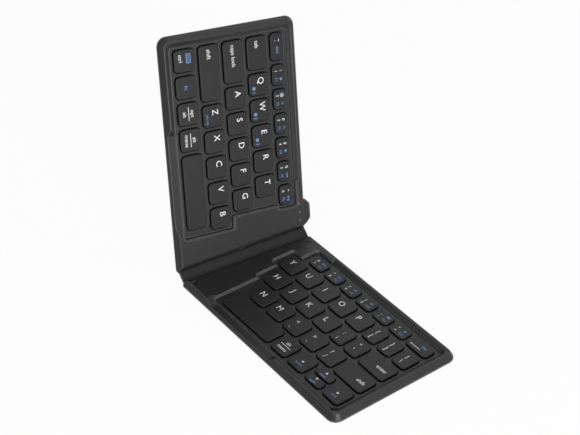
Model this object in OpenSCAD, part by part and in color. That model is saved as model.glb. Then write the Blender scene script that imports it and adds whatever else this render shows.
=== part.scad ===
// Folding travel keyboard: two key halves joined by a narrow spine that folds on two parallel axes.
//
// World frame, in millimetres: Y runs along the hinge, front to back. X runs to the right, away from the
// hinge, and Z is up. The right half lies on the table (z = 0). The left half and the spine are built flat
// and then folded up by the two rest angles.
//
// Each half is described once, in a half frame: s runs outwards along the key rows, y runs from the front
// to the back along the key columns, z is up. The rows are turned a little to the hinge, so that the opened
// keyboard is bent into a shallow V for the hands. The left half is the mirror image with its own keys.

/* [Keys] */
// Distance between the centres of two neighbouring letter keys
key_pitch = 16.5; // [14:0.1:20]
// Free distance between two neighbouring keys
key_gap = 2.7; // [1.5:0.1:4]
// Width of the small punctuation keys
narrow_key = 10.9; // [9:0.1:14]
// Width of the number keys
number_key = 13; // [10:0.1:16]
// Depth of the number keys, front to back
number_depth = 8.9; // [7:0.1:14]
// Width of the space key on the right half
right_space_width = 46.3; // [30:0.1:60]
// Width of the space key on the left half
left_space_width = 47.7; // [30:0.1:60]
// Corner radius of a key, seen from above
key_corner = 2.5; // [1:0.1:3]
// Height of a key top above the deck round it
key_rise = 1.2; // [0.8:0.1:3]
// How far a key goes down
key_travel = 1.2; // [0.8:0.1:1.5]
// Thickness of a key's top wall
key_top_wall = 0.7; // [0.5:0.1:1]
// Thickness of a key's skirt
key_skirt = 0.9; // [0.6:0.1:1.2]
// Width of the slanted edge round a key top
key_edge = 0.4; // [0.2:0.05:0.6]
// Free distance between a key and its opening in the deck
key_clearance = 0.45; // [0.2:0.05:0.6]
// Radius of the post under a key
post_radius = 1.2; // [0.8:0.1:1.6]
// How far a retaining lug reaches under the deck
lug_hold = 0.4; // [0.3:0.05:0.6]
// Width of a retaining lug
lug_width = 3; // [2:0.1:4]
// Thickness of a retaining lug
lug_height = 0.3; // [0.2:0.05:0.5]
// Deck left between the openings of the up and down arrows
split_web = 0.4; // [0.3:0.1:1]

/* [Rows] */
// Start of the right bottom row, from the hinge axis
right_bottom_start = 25.9; // [20:0.1:34]
// Start of the N row
right_lower_start = 31.4; // [20:0.1:40]
// Start of the H row
right_home_start = 23; // [18:0.1:34]
// Start of the Y row
right_top_start = 17.4; // [16:0.1:34]
// Start of the right number row
right_number_start = 26.4; // [18:0.1:34]
// Start of the left bottom row
left_bottom_start = 21.8; // [18:0.1:34]
// Start of the B row
left_lower_start = 18.4; // [17:0.1:34]
// Start of the G row
left_home_start = 26.8; // [20:0.1:40]
// Start of the T row
left_top_start = 32.4; // [20:0.1:40]
// Start of the left number row
left_number_start = 23.9; // [18:0.1:34]
// Deck left between the first keys of the right half and its raised strip
right_lip_gap = 3.8; // [1.5:0.1:5]
// Deck left between the first keys of the left half and its raised strip
left_lip_gap = 1.9; // [1.5:0.1:5]

/* [Half shells] */
// Height of a half, underside to rim
half_height = 6; // [5.5:0.1:9]
// Depth of the key well below the rim
well_depth = 2.2; // [1.6:0.1:3]
// Thickness of the deck round the keys
deck_wall = 0.9; // [0.7:0.1:1.5]
// Height of the widest edge, where the two shells meet
parting_height = 1.6; // [1.4:0.1:2.5]
// Thickness of the bottom shell's floor
floor_wall = 0.8; // [0.6:0.05:1.2]
// Thickness of the raised strip's top wall
strip_wall = 1; // [0.7:0.1:1.5]
// Deck between the outermost keys and the foot of the rim
side_margin = 2.4; // [1.5:0.1:4]
// Deck between the front and back keys and the foot of the rim
end_margin = 2.9; // [1.5:0.1:4]
// Width of the outer rim
side_rim = 6.6; // [5:0.1:9]
// Width of the front rim
front_rim = 6; // [4:0.1:9]
// Width of the back rim
back_rim = 6.9; // [4:0.1:9]
// Radius of the outer corners
outer_corner = 6.2; // [4.5:0.1:12]
// Radius of the corners beside the hinge
hinge_corner = 5; // [2:0.1:6]
// How far the rim leans in from the widest edge to its crest
rim_lean = 2.6; // [1.5:0.1:2.8]
// Largest width of the slope inside the rim
rim_slope = 2.7; // [0.5:0.1:3]
// Radius of the well's corners
well_corner = 2; // [1:0.1:4]
// Width of the ledges along the raised strip, both together
lip_ledge = 0.9; // [0.4:0.1:1.2]
// Width of the thin groove at the foot of the rim
foot_groove = 0.5; // [0.3:0.1:0.8]
// Depth of that groove
groove_depth = 0.4; // [0.2:0.1:0.5]
// Start of the scoop in the front rim, from the hinge axis
scoop_start = 26; // [22:0.5:40]
// End of the scoop in the front rim
scoop_end = 84; // [60:0.5:110]
// Length of the ramp at the hinge end of the scoop
scoop_ramp = 7; // [4:0.5:9]
// Length of the ramp at the outer end of the scoop
scoop_far_ramp = 4; // [2:0.5:10]
// Free distance between the two shells of a half
parting_gap = 0.04; // [0.02:0.01:0.1]

/* [Hinge] */
// Angle between the key rows and the square to the hinge
row_turn = 5.7; // [0:0.1:10]
// Height of the hinge axes above the underside
axis_height = 2.5; // [2.2:0.1:4]
// Free distance between the two rims when the keyboard is shut
closed_gap = 0.1; // [0.05:0.05:1]
// Thickness of the spine
spine_thickness = 2.4; // [2:0.1:3]
// Half length of the spine along the hinge
spine_reach = 45.5; // [30:0.1:46]
// Free distance between the spine and its sockets
socket_gap = 0.3; // [0.2:0.05:0.5]
// Radius of the rounded edge of a half above the spine
hinge_round = 3; // [2:0.1:4]
// Angle of each axis from the flat keyboard, as photographed
rest_fold = 36.25; // [0:0.25:90]

/* [Inside] */
// Free distance between stacked sheets
sheet_gap = 0.03; // [0.02:0.01:0.06]
// Thickness of the support plate
plate_thickness = 0.25; // [0.2:0.05:0.4]
// Thickness of the contact membrane
membrane_thickness = 0.2; // [0.15:0.05:0.3]
// Radius of a rubber dome
dome_radius = 3; // [2.4:0.1:3.2]
// Free distance between a key's post and its dome
post_clearance = 0.25; // [0.15:0.05:0.3]
// Height of a rubber dome
dome_height = 1.4; // [1.2:0.05:1.6]
// Thickness of the circuit board
board_thickness = 0.8; // [0.6:0.1:1]
// Thickness of the battery
battery_thickness = 3.6; // [2:0.1:3.7]
// Width of the flat cable through the spine
cable_width = 5; // [4:0.5:14]
// Thickness of the flat cable
cable_thickness = 0.25; // [0.15:0.05:0.4]
// Width of the charging socket
port_width = 8.9; // [7:0.1:10]
// Height of the charging socket
port_height = 3.15; // [2.5:0.05:3.2]
// Length of the charging socket
port_length = 7; // [5:0.1:9]
// Centre of the charging socket, from the hinge axis
port_place = 16.2; // [15:0.1:17]
// How far the socket's housing stands out of the back edge
port_bulge = 3; // [2:0.1:4]
// Length of the slanted end of that housing
port_ramp = 3.6; // [2:0.1:5]
// Radius of an indicator light
light_radius = 0.45; // [0.3:0.05:0.8]
// Distance between two indicator lights
light_pitch = 5.5; // [4:0.1:6]
// Length of a magnet
magnet_length = 10; // [6:0.5:14]
// Width of a magnet
magnet_width = 1.4; // [1:0.1:1.6]
// Height of a magnet
magnet_height = 1; // [0.8:0.1:1.2]
// Free distance round parts that lie in a pocket
pocket_gap = 0.1; // [0.05:0.01:0.3]

/* [Hidden] */
$fn = 48;
node = "all";
// Length that surely goes past what is being cut
past = 20;

key_cap = key_pitch - key_gap;
half_key = (key_cap - split_web) / 2 - key_clearance;

// Heights, from the table up
web_top = half_height - well_depth;
web_bottom = web_top - deck_wall;
cap_top = web_top + key_rise;
plate_bottom = floor_wall + sheet_gap;
membrane_bottom = plate_bottom + plate_thickness + sheet_gap;
membrane_top = membrane_bottom + membrane_thickness;
dome_bottom = membrane_top + sheet_gap;
cap_bottom = membrane_top + sheet_gap + key_travel;
strip_ceiling = half_height - strip_wall;
axis_distance = 2 * (half_height - axis_height) + closed_gap;
hinge_wall = spine_thickness / 2 + socket_gap + hinge_round + 0.3;

// A row is [depth, start, list of [node, width]]. The last key of a row fills it up to the block's edge,
// and its width here is the least that it may have.
RIGHT_ROWS = [
    [key_cap, right_bottom_start, [
        ["right_space", right_space_width],
        ["right_alt", key_cap],
        ["arrow_keys", key_cap],
        ["arrow_keys", key_cap],
        ["arrow_keys", key_cap]]],
    [key_cap, right_lower_start, [
        ["key_n", key_cap],
        ["key_m", key_cap],
        ["punctuation_keys", key_cap],
        ["punctuation_keys", key_cap],
        ["punctuation_keys", key_cap],
        ["right_shift", narrow_key]]],
    [key_cap, right_home_start, [
        ["key_h", key_cap],
        ["key_j", key_cap],
        ["key_k", key_cap],
        ["key_l", key_cap],
        ["punctuation_keys", narrow_key],
        ["punctuation_keys", narrow_key],
        ["enter_key", narrow_key]]],
    [key_cap, right_top_start, [
        ["key_y", key_cap],
        ["key_u", key_cap],
        ["key_i", key_cap],
        ["key_o", key_cap],
        ["key_p", key_cap],
        ["bracket_keys", narrow_key],
        ["bracket_keys", narrow_key],
        ["bracket_keys", narrow_key]]],
    [number_depth, right_number_start, [
        ["right_number_keys", number_key],
        ["right_number_keys", number_key],
        ["right_number_keys", number_key],
        ["right_number_keys", number_key],
        ["right_number_keys", number_key],
        ["right_number_keys", number_key],
        ["backspace_key", narrow_key]]]];

LEFT_ROWS = [
    [key_cap, left_bottom_start, [
        ["left_space", left_space_width],
        ["left_modifier_keys", key_cap],
        ["left_modifier_keys", key_cap],
        ["left_modifier_keys", key_cap],
        ["left_modifier_keys", key_cap]]],
    [key_cap, left_lower_start, [
        ["key_b", key_cap],
        ["key_v", key_cap],
        ["key_c", key_cap],
        ["key_x", key_cap],
        ["key_z", key_cap],
        ["left_shift", narrow_key]]],
    [key_cap, left_home_start, [
        ["key_g", key_cap],
        ["key_f", key_cap],
        ["key_d", key_cap],
        ["key_s", key_cap],
        ["key_a", key_cap],
        ["caps_lock", narrow_key]]],
    [key_cap, left_top_start, [
        ["key_t", key_cap],
        ["key_r", key_cap],
        ["key_e", key_cap],
        ["key_w", key_cap],
        ["key_q", key_cap],
        ["tab_key", narrow_key]]],
    [number_depth, left_number_start, [
        ["left_number_keys", number_key],
        ["left_number_keys", number_key],
        ["left_number_keys", number_key],
        ["left_number_keys", number_key],
        ["left_number_keys", number_key],
        ["left_number_keys", number_key],
        ["left_number_keys", narrow_key]]]];

// The up and down arrows share one key's place: this is its number in the right bottom row.
SPLIT_KEY = 3;

RIGHT_LIPS = [
    min(right_bottom_start, right_lower_start) - right_lip_gap,
    min(right_bottom_start, right_lower_start) - right_lip_gap,
    right_home_start - right_lip_gap,
    right_top_start - right_lip_gap,
    right_number_start - right_lip_gap];

LEFT_LIPS = [
    min(left_bottom_start, left_lower_start) - left_lip_gap,
    min(left_bottom_start, left_lower_start) - left_lip_gap,
    min(left_home_start, left_top_start) - left_lip_gap,
    min(left_home_start, left_top_start) - left_lip_gap,
    left_number_start - left_lip_gap];

// Sums, and the places that follow from the rows
function total(list, upto, i = 0) = i >= upto ? 0 : list[i] + total(list, upto, i + 1);
function widths(row) = [for (key = row[2]) key[1]];
function key_start(row, i) = row[1] + total(widths(row), i) + i * key_gap;
function least_reach(row) = key_start(row, len(row[2])) - key_gap;
function block_reach(rows) = max([for (row = rows) least_reach(row)]);
function rows_depth(rows, upto) = total([for (row = rows) row[0] + key_gap], upto);

right_reach = block_reach(RIGHT_ROWS);
left_reach = block_reach(LEFT_ROWS);
keys_depth = rows_depth(RIGHT_ROWS, len(RIGHT_ROWS)) - key_gap;
half_depth = front_rim + end_margin + keys_depth + end_margin + back_rim;
front_edge = -half_depth / 2;
back_edge = half_depth / 2;
well_front = front_edge + front_rim;
well_back = back_edge - back_rim;

function row_front(i) = well_front + end_margin + rows_depth(RIGHT_ROWS, i);
function row_centre(i) = row_front(i) + RIGHT_ROWS[i][0] / 2;
function between_rows(i) = row_front(i) - key_gap / 2;
function reach_of(right) = right ? right_reach : left_reach;
function rows_of(right) = right ? RIGHT_ROWS : LEFT_ROWS;
function lips_of(right) = right ? RIGHT_LIPS : LEFT_LIPS;
function foot_of(right) = reach_of(right) + side_margin;
function edge_of(right) = foot_of(right) + side_rim;
longest = max(edge_of(true), edge_of(false));
slope = min(rim_slope, min(side_rim, front_rim, back_rim) - rim_lean - 0.2);

// A key is [node, s of its centre, y of its centre, width, depth].
function key_width(right, row, i) =
    i < len(row[2]) - 1 ? row[2][i][1] : reach_of(right) - key_start(row, i);
function plain_key(right, j, i) =
    let (row = rows_of(right)[j], wide = key_width(right, row, i))
    [row[2][i][0], key_start(row, i) + wide / 2, row_centre(j), wide, row[0]];
function split_key(key, up) =
    [key[0], key[1], key[2] + (up ? 1 : -1) * (key[4] - half_key) / 2, key[3], half_key];
function keys_of(right) = [
    for (j = [0 : len(rows_of(right)) - 1])
    for (i = [0 : len(rows_of(right)[j][2]) - 1])
    let (key = plain_key(right, j, i))
    for (part = right && j == 0 && i == SPLIT_KEY ? [split_key(key, true), split_key(key, false)] : [key])
    part];

RIGHT_KEYS = keys_of(true);
LEFT_KEYS = keys_of(false);

// An outline with rounded corners. Each corner is [x, y, radius]; inner and outer corners both round.
function unit(v) = v / norm(v);
function cross2(a, b) = a[0] * b[1] - a[1] * b[0];
function corner_arc(before, at, after, r, steps) =
    let (
        u = unit(at - before),
        v = unit(after - at),
        turn = atan2(cross2(u, v), u * v),
        side = turn > 0 ? 1 : -1,
        set_back = r * tan(abs(turn) / 2),
        centre = at - u * set_back + side * r * [-u[1], u[0]],
        from = atan2(u[1], u[0]) - side * 90)
    [for (k = [0 : steps]) centre + r * [cos(from + turn * k / steps), sin(from + turn * k / steps)]];
function rounded(corners, steps = 6) = [
    for (i = [0 : len(corners) - 1])
    let (
        n = len(corners),
        a = corners[(i + n - 1) % n],
        b = corners[i],
        c = corners[(i + 1) % n])
    for (p = corner_arc([a[0], a[1]], [b[0], b[1]], [c[0], c[1]], b[2], steps)) p];

// The same outline of square corners, moved outwards by e. Its points run anticlockwise.
function moved_out(corners, e) = [
    for (i = [0 : len(corners) - 1])
    let (
        n = len(corners),
        a = corners[(i + n - 1) % n],
        b = corners[i],
        c = corners[(i + 1) % n],
        u = unit([b[0] - a[0], b[1] - a[1]]),
        v = unit([c[0] - b[0], c[1] - b[1]]))
    [b[0] + e * (u[1] + v[1]), b[1] - e * (u[0] + v[0]), b[2] + e * (cross2(u, v) > 0 ? 1 : -1)]];

// The well's outline steps along the raised strip from row to row.
function lip_corners(right) = let (lips = lips_of(right)) [
    for (j = [len(lips) - 1 : -1 : 1])
    if (lips[j] != lips[j - 1])
    for (s = [lips[j], lips[j - 1]]) [s, between_rows(j), well_corner * 0.7]];
function well_corners(right) = concat(
    [
        [lips_of(right)[0], well_front, well_corner],
        [foot_of(right), well_front, well_corner],
        [foot_of(right), well_back, well_corner],
        [lips_of(right)[4], well_back, well_corner]],
    lip_corners(right));

// Outline of a half, seen from above, out to the line at hinge_x beside the spine
function on_hinge_line(hinge_x, y) = (hinge_x + y * sin(row_turn)) / cos(row_turn);
function half_corners(right, hinge_x) = [
    [on_hinge_line(hinge_x, front_edge), front_edge, hinge_corner],
    [edge_of(right), front_edge, outer_corner],
    [edge_of(right), back_edge, outer_corner],
    [on_hinge_line(hinge_x, back_edge), back_edge, hinge_corner]];

// A block with rounded corners whose four sides lean: inset e0 at its foot and e1 at its top
module slab(wide, deep, r, h, e0 = 0, e1 = 0) {
    rotate([90, 0, 90])
        linear_extrude(wide - 2 * r, center = true)
            polygon([[-deep / 2 + e0, 0], [deep / 2 - e0, 0], [deep / 2 - e1, h], [-deep / 2 + e1, h]]);
    rotate([90, 0, 0])
        linear_extrude(deep - 2 * r, center = true)
            polygon([[-wide / 2 + e0, 0], [wide / 2 - e0, 0], [wide / 2 - e1, h], [-wide / 2 + e1, h]]);
    for (x = [-1, 1])
        for (y = [-1, 1])
            translate([x * (wide / 2 - r), y * (deep / 2 - r), 0])
                cylinder(h = h, r1 = r - e0, r2 = r - e1);
}

// A slab of a half's outline, from a list of [height, inset] levels. It goes past the hinge.
module stacked_half(right, levels) {
    reach = edge_of(right) + past;
    for (i = [0 : len(levels) - 2])
        translate([(edge_of(right) - past) / 2, (front_edge + back_edge) / 2, levels[i][0]])
            slab(reach, half_depth, outer_corner, levels[i + 1][0] - levels[i][0], levels[i][1], levels[i + 1][1]);
}

module plate_of(corners, z0, z1) {
    translate([0, 0, z0])
        linear_extrude(z1 - z0)
            polygon(rounded(corners));
}

// Cross-section of a half beside the hinge, in the plane square to the axis: x outwards, y up.
// The floor curls under the axis, the top edge is round, and a socket is left for the spine.
module hinge_section() {
    socket = spine_thickness / 2 + socket_gap;
    top = half_height;
    difference() {
        union() {
            translate([socket, 0])
                square([longest + past, top - hinge_round]);
            translate([socket + hinge_round, 0])
                square([longest + past, top]);
            translate([socket + hinge_round, top - hinge_round])
                circle(r = hinge_round);
            intersection() {
                translate([0, axis_height])
                    circle(r = axis_height);
                translate([-axis_height, 0])
                    square([2 * axis_height, axis_height - socket]);
            }
            translate([0, 0])
                square([socket, axis_height - socket]);
        }
        translate([0, axis_height])
            circle(r = socket);
    }
}

// Keeps what lies on a half's side of the hinge. Its child is in the half frame.
module cut_at_hinge(right) {
    intersection() {
        children();
        plate_of(half_corners(right, -axis_height), -1, half_height + 1);
        rotate([0, 0, -row_turn])
            rotate([90, 0, 0])
                linear_extrude(2 * half_depth, center = true)
                    hinge_section();
    }
}

// Space inside a half: low under the keys, high under the raised strip
module inner_space(right) {
    wall = 3.5;
    low = [
        [on_hinge_line(hinge_wall, front_edge + wall), front_edge + wall, 1],
        [lips_of(right)[0] - 2, front_edge + wall, 1],
        [lips_of(right)[0] - 2, well_front + 0.2, 1],
        [foot_of(right) - 0.2, well_front + 0.2, 1],
        [foot_of(right) - 0.2, well_back - 0.2, 1],
        [scoop_start + 1, well_back - 0.2, 1],
        [scoop_start + 1, back_edge - wall, 1],
        [on_hinge_line(hinge_wall, back_edge - wall), back_edge - wall, 1]];
    plate_of(low, -1, web_bottom);
    difference() {
        plate_of(low, -1, strip_ceiling);
        plate_of(moved_out(well_corners(right), strip_wall), -2, half_height + 1);
    }
}

// Posts, lugs and all: one key, standing on the height where its skirt ends
module key(spec) {
    wide = spec[3];
    deep = spec[4];
    height = cap_top - cap_bottom;
    hollow = height - key_top_wall;
    translate([spec[1], spec[2], cap_bottom]) {
        difference() {
            union() {
                slab(wide, deep, key_corner, height - key_edge);
                translate([0, 0, height - key_edge])
                    slab(wide, deep, key_corner, key_edge * 0.6, 0, key_edge * 0.35);
                translate([0, 0, height - key_edge * 0.4])
                    slab(wide, deep, key_corner, key_edge * 0.4, key_edge * 0.35, key_edge);
            }
            translate([0, 0, -1])
                slab(wide - 2 * key_skirt, deep - 2 * key_skirt, key_corner - key_skirt, hollow + 1);
        }
        cylinder(h = hollow + key_top_wall / 2, r = post_radius);
        for (side = [-1, 1])
            translate([side * (wide / 2 + (key_clearance + lug_hold - key_skirt / 2) / 2), 0, lug_height / 2])
                cube([key_clearance + lug_hold + key_skirt / 2, min(lug_width, deep / 2), lug_height], center = true);
    }
}

module key_openings(right) {
    for (spec = right ? RIGHT_KEYS : LEFT_KEYS)
        translate([spec[1], spec[2], web_bottom - 1])
            slab(
                spec[3] + 2 * key_clearance,
                spec[4] + 2 * key_clearance,
                key_corner + key_clearance,
                half_height);
}

// The well that holds the keys: walls, the slope inside the rim, the ledge along the strip, the thin groove
module key_well(right) {
    corners = well_corners(right);
    foot = foot_of(right);
    step = 0.5;
    start = lips_of(right)[4];
    plate_of(corners, web_top, half_height + 1);
    plate_of(moved_out(corners, lip_ledge * 0.4), half_height - 2.2 * step, half_height + 1.2);
    plate_of(moved_out(corners, lip_ledge), half_height - step, half_height + 1.3);
    difference() {
        plate_of(corners, web_top - groove_depth, web_top + 0.1);
        plate_of(moved_out(corners, -foot_groove), web_top - 1, half_height + 1);
    }
    intersection() {
        translate([(foot - past) / 2, (well_front + well_back) / 2, web_top + step])
            slab(foot + past, well_back - well_front, well_corner, half_height - web_top - step, -0.15, -slope);
        translate([max(lips_of(right)) + key_cap, front_edge, 0])
            cube([longest, half_depth, past]);
    }
}

// The front rim is cut away beside the space key, down to the deck, so that thumbs reach it.
module front_scoop() {
    rise = half_height - web_top;
    translate([0, well_front + well_corner, web_top])
        rotate([90, 0, 0])
            linear_extrude(front_rim + well_corner + 1)
                polygon([
                    [scoop_start - scoop_ramp, rise + 0.1],
                    [scoop_start, 0],
                    [scoop_end, 0],
                    [scoop_end + scoop_far_ramp, rise + 0.1]]);
}

// The magnets of the two halves lie on each other when the keyboard is shut.
module magnet_places() {
    s = max(foot_of(true), foot_of(false)) + magnet_width;
    for (y = [well_front, well_back])
        translate([s, y * 0.7, parting_height])
            children();
}

// Small curved recesses in the rim, where the bumpers of the right half were pressed in
module corner_marks() {
    marks = [
        [on_hinge_line(10, back_edge), back_edge - 4.2, 60],
        [edge_of(true) - 3.5, back_edge - 5.5, -30],
        [edge_of(true) - 3.5, front_edge + 5.5, -120],
        [on_hinge_line(8, front_edge), front_edge + 5, 150]];
    for (m = marks)
        translate([m[0], m[1], half_height - 0.45])
            rotate([0, 0, m[2]])
                rotate_extrude(angle = 100)
                    translate([1.5, 0])
                        square([0.6, 1]);
}

// The housing of the charging socket stands out of the left half's back edge, with two slanted ends.
module port_bump(z0, z1, inset) {
    wide = port_width / 2 + 0.3;
    outer = back_edge + port_bulge - inset;
    plate_of([
        [port_place - wide - port_ramp, back_edge - 4, 1],
        [port_place + wide + port_ramp, back_edge - 4, 1],
        [port_place + wide + port_ramp, back_edge - inset - 0.3, 1.5],
        [port_place + wide, outer, 2],
        [port_place - wide, outer, 2],
        [port_place - wide - port_ramp, back_edge - inset - 0.3, 1.5]], z0, z1);
}

module port_hole() {
    wide = port_width + 2 * pocket_gap;
    high = port_height + 2 * pocket_gap;
    place = floor_wall + board_thickness + 2 * sheet_gap + port_height / 2 + 0.05;
    translate([port_place, back_edge + port_bulge + 1, place])
        rotate([90, 0, 0])
            linear_extrude(port_length + 6) {
                square([wide - high, high], center = true);
                for (side = [-1, 1])
                    translate([side * (wide - high) / 2, 0])
                        circle(d = high);
            }
}

function light_place(i) = [port_place + (i - 0.85) * light_pitch, well_back + 1.6];

module deck(right) {
    low = parting_height + parting_gap;
    levels = [
        [low, 0],
        [low + 0.8, 0.2],
        [half_height - 1, rim_lean - 0.8],
        [half_height - 0.3, rim_lean - 0.3],
        [half_height, rim_lean]];
    difference() {
        union() {
            cut_at_hinge(right)
                stacked_half(right, levels);
            if (!right) {
                port_bump(low, half_height - 1.4, 0);
                port_bump(half_height - 1.5, half_height - 0.85, 0.25);
                port_bump(half_height - 0.95, half_height - 0.45, 0.6);
                port_bump(half_height - 0.55, half_height - 0.2, 1.2);
            }
        }
        inner_space(right);
        key_well(right);
        key_openings(right);
        front_scoop();
        cable_slot();
        magnet_places()
            translate([0, 0, magnet_height / 2 - 0.5 + pocket_gap])
                cube([
                    magnet_width + 2 * pocket_gap,
                    magnet_length + 2 * pocket_gap,
                    magnet_height + 1], center = true);
        if (right)
            corner_marks();
        else {
            port_hole();
            for (i = [0 : 2])
                translate([light_place(i)[0], light_place(i)[1], 0])
                    cylinder(h = past, r = light_radius + pocket_gap);
        }
    }
}

module bottom_cover(right) {
    top = parting_height;
    levels = [[0, 1.4], [0.35, 0.7], [0.9, 0.15], [top, 0]];
    difference() {
        union() {
            cut_at_hinge(right)
                stacked_half(right, levels);
            if (!right) {
                port_bump(0.45, 1.05, 0.5);
                port_bump(0.95, top, 0);
            }
        }
        difference() {
            inner_space(right);
            translate([-past, front_edge, -2])
                cube([longest + 2 * past, half_depth, floor_wall + 2]);
        }
    }
}

// Outline shared by the sheets under the keys
module key_sheet(right, inset, z0, z1) {
    plate_of(moved_out(well_corners(right), -inset), z0, z1);
}

module support_plate(right) {
    key_sheet(right, 0.6, plate_bottom, plate_bottom + plate_thickness);
}

module membrane(right) {
    key_sheet(right, 0.9, membrane_bottom, membrane_top);
}

// A ring of rubber with a sloping wall. The key's post stands in its collar.
module rubber_dome(r) {
    collar = post_radius + post_clearance;
    rotate_extrude()
        polygon([
            [r - 0.5, 0],
            [r, 0],
            [r, 0.25],
            [collar + 0.6, dome_height - 0.3],
            [collar + 0.6, dome_height],
            [collar, dome_height],
            [collar, dome_height - 0.5]]);
}

module rubber_domes(right) {
    for (spec = right ? RIGHT_KEYS : LEFT_KEYS)
        translate([spec[1], spec[2], dome_bottom])
            rubber_dome(min(dome_radius, spec[4] / 2 - key_skirt - 0.15));
}

module magnets() {
    magnet_places()
        translate([0, 0, magnet_height / 2 + parting_gap])
            cube([magnet_width, magnet_length, magnet_height], center = true);
}

module circuit_board() {
    z0 = floor_wall + sheet_gap;
    edge = LEFT_LIPS[0] - 1.2;
    top = LEFT_LIPS[4] - 1.2;
    outline = [
        [6.2, well_front + 4, 1],
        [edge, well_front + 4, 1],
        [edge, between_rows(2) + 2, 1],
        [top, between_rows(2) + 2, 1],
        [top, well_back + 0.4, 1],
        [top + 5, well_back + 0.4, 0.5],
        [top + 5, back_edge - 4, 0.5],
        [9.5, back_edge - 4, 1],
        [9.5, between_rows(2) + 2, 1]];
    plate_of(outline, z0, z0 + board_thickness);
    translate([12, row_centre(3), z0 + board_thickness])
        slab(5, 5, 0.5, 0.9);
    translate([11, between_rows(1), z0 + board_thickness])
        slab(3, 9, 0.4, 0.7);
}

module charging_port() {
    z0 = floor_wall + board_thickness + 2 * sheet_gap + 0.05;
    wall = 0.3;
    translate([port_place, back_edge + port_bulge - 0.3, z0 + port_height / 2])
        rotate([90, 0, 0])
            difference() {
                linear_extrude(port_length)
                    port_outline(0);
                translate([0, 0, -1])
                    linear_extrude(port_length)
                        port_outline(wall);
                }
    translate([port_place, back_edge + port_bulge - port_length / 2 - 0.8, z0 + port_height / 2])
        cube([port_width - 2.6, port_length - 1, 0.7], center = true);
}

module port_outline(inset) {
    wide = port_width - 2 * inset;
    high = port_height - 2 * inset;
    square([wide - high, high], center = true);
    for (side = [-1, 1])
        translate([side * (wide - high) / 2, 0])
            circle(d = high);
}

module indicator_lights() {
    low = floor_wall + board_thickness + 2 * sheet_gap;
    for (i = [0 : 2])
        translate([light_place(i)[0], light_place(i)[1], low])
            cylinder(h = half_height - low, r = light_radius);
}

module battery() {
    front = front_edge + 5;
    back = between_rows(2) - 3;
    inner = on_hinge_line(5.4, back) + 0.4;
    outer = RIGHT_LIPS[0] - 2.4;
    translate([(inner + outer) / 2, (front + back) / 2, floor_wall + sheet_gap])
        slab(outer - inner, back - front, 1, battery_thickness);
}

// The spine, flat: the right axis is the line x = 0, the left axis x = -axis_distance, both at axis_height.
module spine_section() {
    translate([-axis_distance, axis_height - spine_thickness / 2])
        square([axis_distance, spine_thickness]);
    for (x = [-axis_distance, 0])
        translate([x, axis_height])
            circle(d = spine_thickness);
}

core_inset = 1;
core_thickness = 0.7;

module core_space(clearance) {
    wide = axis_distance - 2 * core_inset + 2 * clearance;
    translate([-axis_distance / 2, 0, axis_height - 0.2 - core_thickness / 2])
        cube([wide, 2 * (spine_reach - 1.2 + clearance), core_thickness + 2 * clearance], center = true);
}

module spine_skin() {
    difference() {
        rotate([90, 0, 0])
            linear_extrude(2 * spine_reach, center = true)
                spine_section();
        core_space(0.05);
        translate([-axis_distance / 2, 0, axis_height])
            cube([
                axis_distance + 2 * spine_thickness,
                cable_width + 1,
                cable_thickness + 0.15], center = true);
        cable_notch();
        translate([-axis_distance, 0, 0])
            mirror([1, 0, 0])
                cable_notch();
    }
}

// The flat cable bends at each axis, in a notch of the skin's upper edge.
module cable_notch() {
    translate([-cable_thickness - 0.1, -cable_width / 2 - 0.6, axis_height - cable_thickness / 2])
        cube([spine_thickness, cable_width + 1.2, spine_thickness]);
}

module spine_core() {
    difference() {
        core_space(0);
        translate([-axis_distance / 2, 0, axis_height])
            cube([
                axis_distance + 2 * spine_thickness,
                cable_width + 1,
                cable_thickness + 0.2], center = true);
    }
}

// Window for the flat cable in the wall beside the spine, in the half frame
module cable_slot() {
    rotate([0, 0, -row_turn])
        translate([0, 0, axis_height])
            cube([2 * hinge_wall + 2, cable_width + 1, 0.9], center = true);
}

// One end of the flat cable, from an axis into a half
module cable_end() {
    length = 6.5;
    translate([length / 2, 0, axis_height])
        cube([length, cable_width, cable_thickness], center = true);
}

module flat_cable() {
    union() {
        at_right()
            cable_end();
        at_spine() {
            translate([-axis_distance / 2, 0, axis_height])
                cube([axis_distance, cable_width, cable_thickness], center = true);
            for (x = [-axis_distance, 0])
                translate([x, 0, axis_height])
                    rotate([90, 0, 0])
                        cylinder(h = cable_width, d = cable_thickness, center = true);
        }
        at_left()
            cable_end();
    }
}

// Places. The flat ones take the world frame, the turned ones the half frame.
module fold_at_right() {
    translate([0, 0, axis_height])
        rotate([0, rest_fold, 0])
            translate([0, 0, -axis_height])
                children();
}

module at_right() {
    children();
}

module at_spine() {
    fold_at_right()
        children();
}

module at_left() {
    fold_at_right()
        translate([-axis_distance, 0, 0])
            fold_at_right()
                mirror([1, 0, 0])
                    children();
}

module place_half(right) {
    if (right)
        at_right()
            rotate([0, 0, row_turn])
                children();
    else
        at_left()
            rotate([0, 0, row_turn])
                children();
}

module key_node(name, right) {
    for (spec = right ? RIGHT_KEYS : LEFT_KEYS)
        if (spec[0] == name)
            key(spec);
}

// Node names, in the order of the list of pieces
function listed_before(list, i, name, k = 0) =
    k >= i ? false : list[k][0] == name ? true : listed_before(list, i, name, k + 1);
function names_in(list) = [for (i = [0 : len(list) - 1]) if (!listed_before(list, i, list[i][0])) list[i][0]];

RIGHT_KEY_NODES = names_in(RIGHT_KEYS);
LEFT_KEY_NODES = names_in(LEFT_KEYS);

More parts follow.
